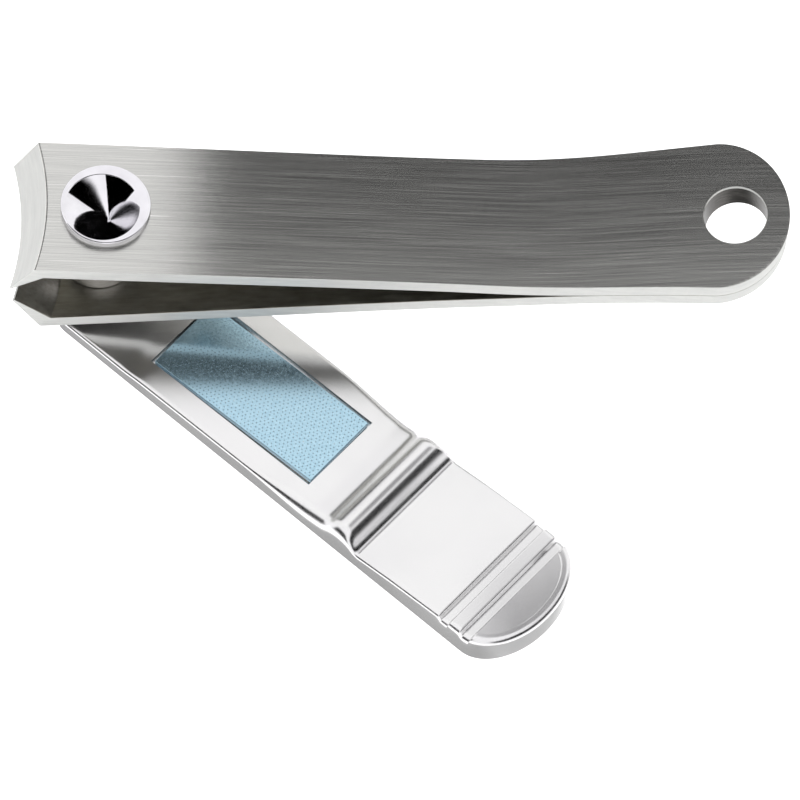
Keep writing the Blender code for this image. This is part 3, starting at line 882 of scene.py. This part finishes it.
def brushed_steel(name, dark, light):
    """Steel brushed along X: streaks in colour, roughness and surface, and a few bright hairlines."""
    made, nodes, links, shader = node_material(name)
    shader.inputs["Metallic"].default_value = 1.0
    shader.inputs["Anisotropic"].default_value = 0.9
    sideways = nodes.new("ShaderNodeCombineXYZ")
    sideways.inputs["Y"].default_value = 1.0
    links.new(sideways.outputs[0], shader.inputs["Tangent"])
    streaks = noise(nodes, links, (60, 8000, 60), 5.0, 0.7)
    fine = noise(nodes, links, (120, 14000, 120), 2.0)
    hairs = noise(nodes, links, (90, 9000, 90), 1.0)
    base = tint(nodes, links, streaks, dark, light)
    links.new(mixed(nodes, links, spread(nodes, links, hairs, 0.0, 1.0, 0.72, 0.78), base, HAIRLINE),
              shader.inputs["Base Color"])
    links.new(spread(nodes, links, streaks, 0.18, 0.27), shader.inputs["Roughness"])
    links.new(bump(nodes, links, streaks, 0.00002, 0.2, bump(nodes, links, fine, 0.00001, 0.2)),
              shader.inputs["Normal"])
    return made


def dull_steel(name, dark, light, rough, scale, metallic=1.0):
    """Steel without a brushed finish: sheared edges and the strips' inner faces, and a near-black copy on the
    ring hole's wall that is painted shade.
    """
    made, nodes, links, shader = node_material(name)
    shader.inputs["Metallic"].default_value = metallic
    marks = noise(nodes, links, scale, 4.0, 0.6)
    links.new(tint(nodes, links, marks, dark, light), shader.inputs["Base Color"])
    links.new(spread(nodes, links, marks, rough, rough + 0.1), shader.inputs["Roughness"])
    links.new(bump(nodes, links, marks, 0.00001, 0.2), shader.inputs["Normal"])
    return made


def polished_chrome(name):
    """Mirror chrome with a faint haze and fine handling marks."""
    made, nodes, links, shader = node_material(name)
    shader.inputs["Metallic"].default_value = 1.0
    haze = noise(nodes, links, (500, 500, 500), 4.0)
    links.new(tint(nodes, links, haze, (0.74, 0.73, 0.76), (0.84, 0.83, 0.86)), shader.inputs["Base Color"])
    links.new(spread(nodes, links, haze, 0.03, 0.09), shader.inputs["Roughness"])
    links.new(bump(nodes, links, noise(nodes, links, (2500, 2500, 2500), 2.0), 0.00001, 0.12),
              shader.inputs["Normal"])
    return made


def satin_chrome(name):
    """Satin plate over a die casting: soft, with slow swells in the surface and a fine grain."""
    made, nodes, links, shader = node_material(name)
    shader.inputs["Metallic"].default_value = 1.0
    swell = noise(nodes, links, (120, 120, 120), 2.0)
    grain = noise(nodes, links, (9000, 9000, 9000), 2.0)
    base = tint(nodes, links, swell, (0.775, 0.77, 0.775), (0.835, 0.83, 0.83))
    links.new(base, shader.inputs["Base Color"])
    links.new(spread(nodes, links, swell, 0.2, 0.27), shader.inputs["Roughness"])
    fine = bump(nodes, links, grain, 0.00001, 0.15)
    links.new(bump(nodes, links, swell, 0.00004, 0.1, fine), shader.inputs["Normal"])
    return made


def drawn_steel(name):
    made, nodes, links, shader = node_material(name)
    shader.inputs["Metallic"].default_value = 1.0
    marks = noise(nodes, links, (900, 2400, 2400), 3.0)
    links.new(tint(nodes, links, marks, (0.42, 0.41, 0.4), (0.58, 0.57, 0.55)), shader.inputs["Base Color"])
    links.new(spread(nodes, links, marks, 0.25, 0.45), shader.inputs["Roughness"])
    return made


def file_blue(name, dark, light, rough):
    """Blue colour on the bright file plate, slightly mottled."""
    made, nodes, links, shader = node_material(name)
    shader.inputs["Metallic"].default_value = 0.85
    mottle = noise(nodes, links, (2600, 2600, 2600), 3.0)
    links.new(tint(nodes, links, mottle, dark, light), shader.inputs["Base Color"])
    links.new(spread(nodes, links, mottle, rough, rough + 0.08), shader.inputs["Roughness"])
    return made


def clear_film(name):
    made, nodes, links, shader = node_material(name)
    shader.inputs["Roughness"].default_value = 0.45
    cloud = noise(nodes, links, (800, 800, 800), 3.0)
    links.new(tint(nodes, links, cloud, (0.55, 0.55, 0.5), (0.72, 0.71, 0.66)), shader.inputs["Base Color"])
    return made


def paint(made, *materials):
    if made.data.materials:
        made.data.materials.clear()
    for material in materials:
        made.data.materials.append(material)


# The stage: a white floor well below, a bright room, cards that some pieces see black, and the camera

def make_floor():
    bm = bmesh.new()
    bmesh.ops.create_grid(bm, x_segments=1, y_segments=1, size=3000)
    floor = mesh_object("floor", bm, Matrix.Translation((0, 0, FLOOR_Z)))
    made, nodes, links, shader = node_material("table")
    made.cycles.emission_sampling = "NONE"
    shader.inputs["Base Color"].default_value = (0.92, 0.92, 0.92, 1)
    shader.inputs["Roughness"].default_value = 0.7
    shader.inputs["Emission Color"].default_value = (1, 1, 1, 1)
    shader.inputs["Emission Strength"].default_value = FLOOR_GLOW
    paint(floor, made)


def make_world():
    world = bpy.data.worlds.new("studio")
    bpy.context.scene.world = world
    world.use_nodes = True
    background = world.node_tree.nodes["Background"]
    background.inputs["Color"].default_value = (0.99, 0.985, 1.0, 1)
    background.inputs["Strength"].default_value = ROOM


def soft_edged(card, shade):
    """Even glow of one shade that fades out towards the card's edges, as dense as the card's cover."""
    made, nodes, links, shader = node_material(card.name)
    nodes.remove(shader)
    place = nodes.new("ShaderNodeTexCoord")
    split = nodes.new("ShaderNodeSeparateXYZ")
    links.new(place.outputs["Object"], split.inputs["Vector"])
    fades = []
    for axis, size in zip("XY", card.size):
        distance = nodes.new("ShaderNodeMath")
        distance.operation = "ABSOLUTE"
        links.new(split.outputs[axis], distance.inputs[0])
        fade = nodes.new("ShaderNodeMapRange")
        fade.interpolation_type = "SMOOTHSTEP"
        fade.inputs["From Min"].default_value = size / 2 * MM
        fade.inputs["From Max"].default_value = (size / 2 - card.soft) * MM
        links.new(distance.outputs[0], fade.inputs["Value"])
        fades.append(fade.outputs["Result"])
    cover = nodes.new("ShaderNodeMath")
    cover.operation = "MULTIPLY"
    density = nodes.new("ShaderNodeMath")
    density.operation = "MULTIPLY"
    density.inputs[1].default_value = card.cover
    clear = nodes.new("ShaderNodeBsdfTransparent")
    glow = nodes.new("ShaderNodeEmission")
    glow.inputs["Color"].default_value = (shade, shade, shade, 1)
    mix = nodes.new("ShaderNodeMixShader")
    for i, fade in enumerate(fades):
        links.new(fade, cover.inputs[i])
    links.new(cover.outputs[0], density.inputs[0])
    links.new(density.outputs[0], mix.inputs["Fac"])
    links.new(clear.outputs[0], mix.inputs[1])
    links.new(glow.outputs[0], mix.inputs[2])
    links.new(mix.outputs[0], nodes["Material Output"].inputs["Surface"])
    return made


def make_card(card, shade, place):
    """A card hidden from the camera; one that no piece sees black gives no light and casts no shadow."""
    width, height = card.size
    bm = bmesh.new()
    bmesh.ops.create_grid(bm, x_segments=1, y_segments=1, size=0.5)
    bmesh.ops.scale(bm, vec=(width, height, 1), verts=bm.verts)
    made = mesh_object(card.name, bm)
    place = place.copy()
    place.translation *= MM
    made.matrix_world = place
    paint(made, soft_edged(card, shade))
    made.visible_camera = False
    if not card.dark_to:
        made.visible_diffuse = False
        made.visible_shadow = False
    return made


def keep_from(made, card, groups):
    """Lets everything but the card's groups of pieces receive its light, so that they see it black."""
    listed = bpy.data.collections.new(card.name + "_dark_to")
    for group in card.dark_to.split():
        for piece in groups[group]:
            listed.objects.link(piece)
    for member in listed.collection_objects:
        member.light_linking.link_state = "EXCLUDE"
    made.light_linking.receiver_collection = listed


def make_cards(groups):
    for card in LEVEL_CARDS:
        made = make_card(card, ROOM, Matrix.Translation(card.centre))
        keep_from(made, card, groups)
    middle = Vector((PIN.x, PIN.y, JAW_TOP))
    for card in ROUND_CARDS:
        turn, rise = (math.radians(angle) for angle in card.centre)
        away = Vector((math.cos(turn) * math.cos(rise), math.sin(turn) * math.cos(rise), math.sin(rise)))
        facing = away.to_track_quat("Z", "Y").to_matrix().to_4x4()
        size = [2 * CARD_DISTANCE * math.tan(math.radians(angle / 2)) for angle in card.size]
        place = Matrix.Translation(middle + away * CARD_DISTANCE) @ facing
        keep_from(make_card(card._replace(size=size), ROOM, place), card, groups)
    for card, grey in ((WALL_CARD, WALL_GREY), (TIP_CARD, TIP_GREY)):
        along, across, height = card.centre
        make_card(card, grey, ON_PIN @ Matrix.Translation((along, across, height - PIN.z)))
    make_card(HOLE_CARD, HOLE_GREY, Matrix.Translation(HOLE_CARD.centre))


def make_camera():
    """Camera at the product shot's angle: nearly level with the jaws' length, looking down steeply."""
    azimuth, elevation, roll = (math.radians(angle) for angle in (CAMERA_TURN, CAMERA_DOWN, CAMERA_ROLL))
    data = bpy.data.cameras.new("camera")
    data.sensor_width = CAMERA_SENSOR
    data.lens = CAMERA_LENS
    data.clip_start = 0.05
    data.clip_end = 20.0
    camera = bpy.data.objects.new("camera", data)
    bpy.context.scene.collection.objects.link(camera)
    forward = Vector((math.sin(azimuth) * math.cos(elevation), math.cos(azimuth) * math.cos(elevation),
                      -math.sin(elevation)))
    level = Vector((math.cos(azimuth), -math.sin(azimuth), 0))
    rise = level.cross(forward)
    right = level * math.cos(roll) + rise * math.sin(roll)
    up = rise * math.cos(roll) - level * math.sin(roll)
    target = Vector((CAMERA_AIM[0], PIN.y + CAMERA_AIM[1], JAW_TOP + CAMERA_AIM[2]))
    place = (target - forward * CAMERA_DISTANCE) * MM
    camera.matrix_world = Matrix.Translation(place) @ Matrix((right, up, -forward)).transposed().to_4x4()
    bpy.context.scene.camera = camera


def turned_out(made, finish, body, node):
    """Gives a rigid piece its finish and its body, and hides the CAD node that it stands for."""
    paint(made, *finish)
    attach(made, body)
    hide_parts(node)
    return made


def main():
    bpy.context.scene.view_settings.view_transform = "Standard"
    make_camera()
    make_floor()
    make_world()
    steel = (
        brushed_steel("brushed_steel", (0.48, 0.48, 0.463), (0.69, 0.688, 0.66)),
        dull_steel("sheared_steel", (0.54, 0.545, 0.53), (0.63, 0.635, 0.615), 0.5, (300, 300, 2200), 0.45),
        dull_steel("inner_steel", (0.24, 0.23, 0.2), (0.34, 0.33, 0.29), 0.3, (200, 2600, 2600)),
        # near-black steel on the ring hole's wall: painted shade for the dark inside of the hole
        dull_steel("bore_painted_shade", (0.04, 0.038, 0.035), (0.1, 0.095, 0.088), 0.3, (600, 600, 4000)),
    )
    chrome = polished_chrome("polished_chrome")
    satin = satin_chrome("satin_chrome")
    plain = drawn_steel("drawn_steel")
    blue = file_blue("file_blue", (0.4, 0.6, 0.72), (0.47, 0.68, 0.8), 0.14)
    # darker blue on the raised points is painted shade: the real points are the plate's own glossy metal
    shaded_points = file_blue("file_points", (0.2, 0.3, 0.36), (0.3, 0.42, 0.5), 0.2)
    film = clear_film("clear_film")

    upper = make_head_side_jaw()
    paint(upper, *steel)
    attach(upper, "head_side_jaw")
    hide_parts("head_side_jaw")

    lower = make_lever_side_jaw()
    paint(lower, *steel)
    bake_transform(lower)
    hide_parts("lever_side_jaw", "lever_side_jaw_tail")

    bush = turned_out(make_bush(), (chrome,), "lever_side_jaw", "post_bush")
    post = turned_out(make_post(), (chrome,), "post", "post")
    turned_out(make_pin(), (plain,), "cross_pin", "cross_pin")
    lever = turned_out(make_lever(), (satin,), "lever", "lever")
    plate = turned_out(make_file_plate(), (blue, shaded_points), "lever", "file_plate")
    paint(frame["nodes"]["file_adhesive"], film)
    make_cards({"jaws": (upper, lower), "post": (post, bush), "lever": (lever, plate)})


main()
